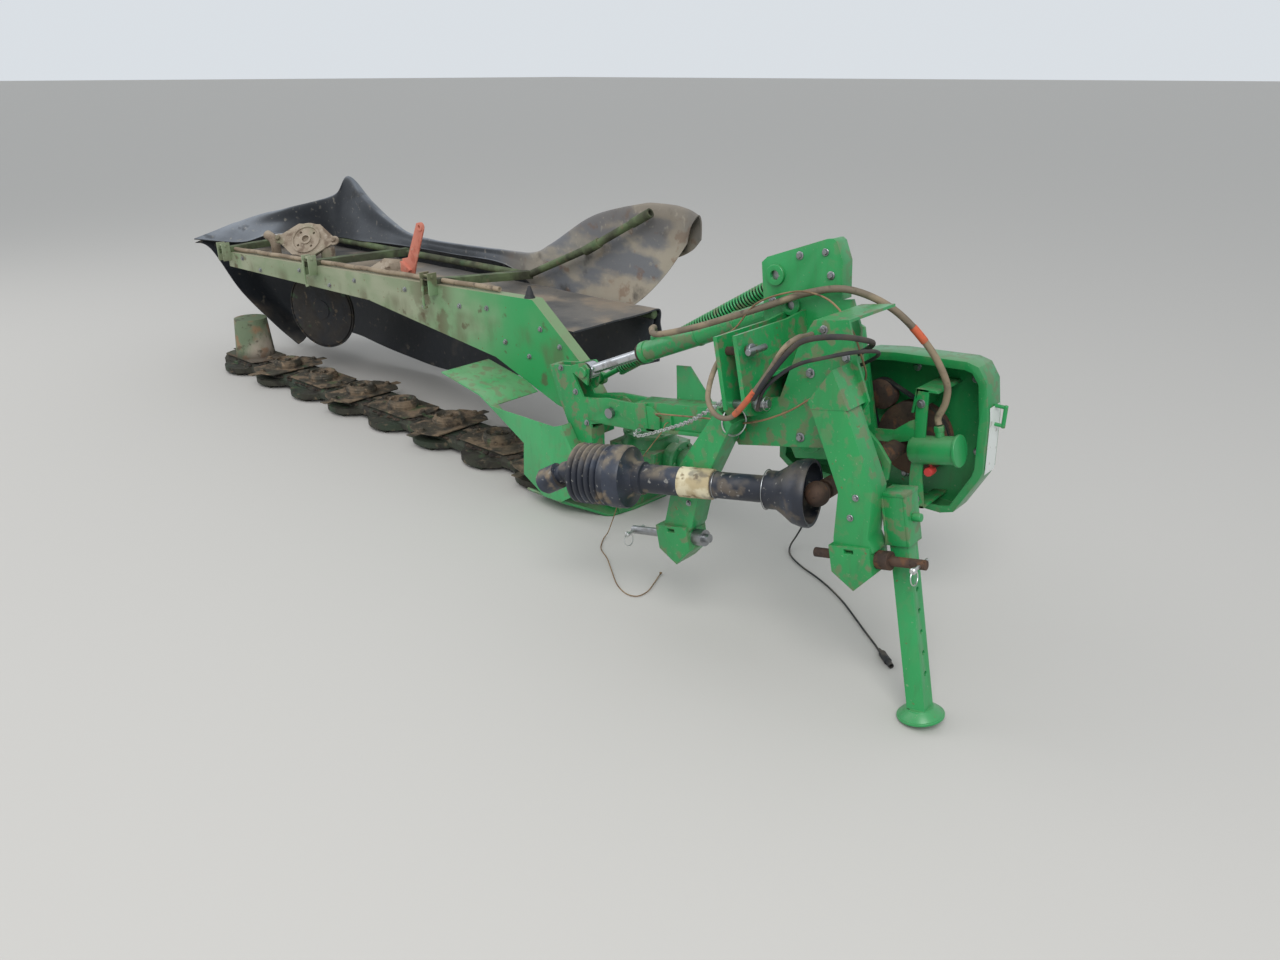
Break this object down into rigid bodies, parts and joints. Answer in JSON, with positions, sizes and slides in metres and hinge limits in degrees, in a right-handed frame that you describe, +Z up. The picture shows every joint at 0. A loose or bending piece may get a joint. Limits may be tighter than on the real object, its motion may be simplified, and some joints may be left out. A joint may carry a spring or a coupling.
{
  "type": "folded disc mower (rear three-point mounted)",
  "caption": "Rear mounted disc mower resting on its cutterbar and parking stand, front guard flipped back, drive shaft swung aside.",
  "frame": {"origin": "middle of the whole machine's box, on the ground", "axes": "+X to the machine's left, +Y to its rear, +Z up"},
  "size_m": [5.3828, 1.7966, 1.2847],
  "materials": {
    "green_paint": "satin",
    "dusty_green": "matte",
    "grimy_steel": "matte",
    "worn_steel": "matte",
    "rusty_iron": "matte",
    "black_steel": "matte",
    "bare_steel": "satin",
    "chrome_rod": "polished",
    "black_plastic": "matte",
    "curtain_cloth": "matte"
  },
  "bodies": {
    "headstock": {"a_frame": "green_paint", "tower": "green_paint", "arm_pin": "bare_steel", "lift_pin": "bare_steel", "top_link_pin": "rusty_iron", "hitch_pin_left": "rusty_iron", "hitch_pin_right": "bare_steel", "belt_guard": "green_paint", "belt_tensioner": "green_paint", "input_drive": "rusty_iron", "pto_joint": "rusty_iron"},
    "stand": {"parking_stand": "green_paint"},
    "arm": {"swing_arm": "green_paint", "fold_pin": "bare_steel"},
    "bar": {"cutterbar_case": "grimy_steel", "rock_guards": "grimy_steel", "inner_shoe": "green_paint", "gear_housing": "green_paint", "bar_upright": "green_paint", "inner_shield": "green_paint", "frame_beam": "dusty_green", "rear_frame": "dusty_green", "rear_curtain": "curtain_cloth", "swath_hub": "rusty_iron", "swath_disc": "black_steel"},
    "guard": {"guard_frame": "dusty_green", "guard_curtain": "curtain_cloth"},
    "cylinder": {"lift_barrel": "green_paint"},
    "rod": {"lift_rod": "chrome_rod"},
    "spring": {"spring_eye": "green_paint", "float_spring": "green_paint"},
    "spring_end": {"spring_rod": "green_paint"},
    "shaft": {"pto_inner": "black_plastic"},
    "shaft_end": {"pto_outer": "black_plastic"},
    "disc1": {"disc_1": "worn_steel"},
    "disc2": {"disc_2": "worn_steel"},
    "disc3": {"disc_3": "worn_steel"},
    "disc4": {"disc_4": "worn_steel"},
    "disc5": {"disc_5": "worn_steel"},
    "disc6": {"disc_6": "worn_steel"},
    "disc7": {"disc_7": "worn_steel"},
    "disc8": {"disc_8": "worn_steel"}
  },
  "joints": [
    {"name": "stand_slide", "type": "slide", "parent": "headstock", "child": "stand", "axis": [-0.2164, 0, 0.9763], "range_m": [0, 0.35]},
    {"name": "arm_float", "type": "hinge", "parent": "headstock", "child": "arm", "pos_m": [2.02947, -0.21169, 0.66407], "axis": [0, -1, 0], "range_deg": [-8, 20]},
    {"name": "bar_fold", "type": "hinge", "parent": "arm", "child": "bar", "pos_m": [1.09358, -0.21169, 0.52], "axis": [0, 1, 0], "range_deg": [-15, 88]},
    {"name": "guard_flip", "type": "hinge", "parent": "bar", "child": "guard", "pos_m": [-2.39142, -0.05169, 0.745], "axis": [0.9993, 0, 0.0382], "range_deg": [0, 172]},
    {"name": "cylinder_swing", "type": "hinge", "parent": "headstock", "child": "cylinder", "pos_m": [1.92891, -0.21169, 1.08529], "axis": [0, 1, 0], "range_deg": [-12, 12]},
    {"name": "rod_slide", "type": "slide", "parent": "cylinder", "child": "rod", "axis": [-0.9164, 0, -0.4003], "range_m": [-0.34, 0.09]},
    {"name": "spring_swing", "type": "hinge", "parent": "headstock", "child": "spring", "pos_m": [1.86594, -0.13969, 1.17069], "axis": [0, 1, 0], "range_deg": [-12, 12]},
    {"name": "spring_slide", "type": "slide", "parent": "spring", "child": "spring_end", "axis": [-0.855, 0, -0.5186], "range_m": [-0.34, 0.09], "deforming": ["float_spring"]},
    {"name": "shaft_swing", "type": "hinge", "parent": "headstock", "child": "shaft", "pos_m": [2.24158, -0.62169, 0.629], "axis": [0, 0, 1], "range_deg": [0, 76]},
    {"name": "shaft_slide", "type": "slide", "parent": "shaft", "child": "shaft_end", "axis": [-0.9653, -0.238, -0.1076], "range_m": [0, 0.3]},
    {"name": "disc1_spin", "type": "hinge", "parent": "bar", "child": "disc1", "pos_m": [-2.22142, -0.02169, 0.09], "axis": [0, 0, 1], "continuous": true},
    {"name": "disc2_spin", "type": "hinge", "parent": "bar", "child": "disc2", "pos_m": [-1.83142, -0.02169, 0.09], "axis": [0, 0, 1], "continuous": true},
    {"name": "disc3_spin", "type": "hinge", "parent": "bar", "child": "disc3", "pos_m": [-1.44142, -0.02169, 0.09], "axis": [0, 0, 1], "continuous": true},
    {"name": "disc4_spin", "type": "hinge", "parent": "bar", "child": "disc4", "pos_m": [-1.05142, -0.02169, 0.09], "axis": [0, 0, 1], "continuous": true},
    {"name": "disc5_spin", "type": "hinge", "parent": "bar", "child": "disc5", "pos_m": [-0.66142, -0.02169, 0.09], "axis": [0, 0, 1], "continuous": true},
    {"name": "disc6_spin", "type": "hinge", "parent": "bar", "child": "disc6", "pos_m": [-0.27142, -0.02169, 0.09], "axis": [0, 0, 1], "continuous": true},
    {"name": "disc7_spin", "type": "hinge", "parent": "bar", "child": "disc7", "pos_m": [0.11858, -0.02169, 0.09], "axis": [0, 0, 1], "continuous": true},
    {"name": "disc8_spin", "type": "hinge", "parent": "bar", "child": "disc8", "pos_m": [0.50858, -0.02169, 0.09], "axis": [0, 0, 1], "continuous": true}
  ],
  "couplings": [
    {"joint": "cylinder_swing", "follows": "bar_fold", "ratio": -0.067209},
    {"joint": "rod_slide", "follows": "bar_fold", "m_per_rad": -0.17531},
    {"joint": "spring_swing", "follows": "bar_fold", "ratio": -0.021958},
    {"joint": "spring_slide", "follows": "bar_fold", "m_per_rad": -0.17764},
    {"joint": "disc2_spin", "follows": "disc1_spin", "ratio": -1},
    {"joint": "disc3_spin", "follows": "disc1_spin", "ratio": 1},
    {"joint": "disc4_spin", "follows": "disc1_spin", "ratio": -1},
    {"joint": "disc5_spin", "follows": "disc1_spin", "ratio": 1},
    {"joint": "disc6_spin", "follows": "disc1_spin", "ratio": -1},
    {"joint": "disc7_spin", "follows": "disc1_spin", "ratio": 1},
    {"joint": "disc8_spin", "follows": "disc1_spin", "ratio": -1}
  ]
}
